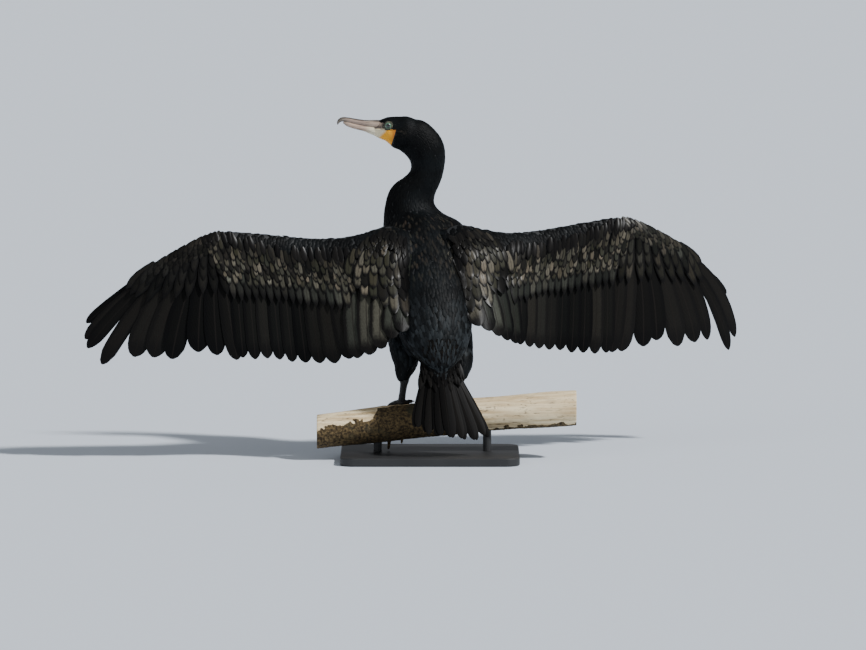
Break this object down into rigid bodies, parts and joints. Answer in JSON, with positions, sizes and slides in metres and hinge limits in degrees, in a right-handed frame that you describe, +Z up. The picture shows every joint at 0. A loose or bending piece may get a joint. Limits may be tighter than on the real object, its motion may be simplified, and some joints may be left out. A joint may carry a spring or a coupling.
{
  "type": "model of a cormorant with its wings spread",
  "caption": "Still, life-size model of a cormorant that dries its spread wings on a short cut branch, held by two rods on a flat base.",
  "frame": {"origin": "middle of the stand base's flat underside", "axes": "+Z up, +X along the branch and the spread wings towards the bird's right, +Y away from a viewer who stands behind the bird"},
  "size_m": [1.1102, 0.3925, 0.573],
  "materials": {
    "plumage": "glossy black feathers with a green sheen",
    "flight_feathers": "satin blackish feathers with bronze coverts",
    "bill": "satin horn",
    "eye": "glossy",
    "leg_skin": "scaly black skin",
    "driftwood": "weathered, bark partly worn off",
    "stand": "satin dark grey"
  },
  "bodies": {
    "root": {"head": "plumage", "neck_upper": "plumage", "neck_lower": "plumage", "torso": "plumage", "thigh_left": "plumage", "thigh_right": "plumage", "wing_left": "flight_feathers", "wing_right": "flight_feathers", "tail": "flight_feathers", "bill_upper": "bill", "bill_lower": "bill", "eye_left": "eye", "eye_right": "eye", "shank_left": "leg_skin", "shank_right": "leg_skin", "foot_left": "leg_skin", "foot_right": "leg_skin", "perch": "driftwood", "stand_base": "stand", "stand_rod_1": "stand", "stand_rod_2": "stand"}
  },
  "joints": []
}
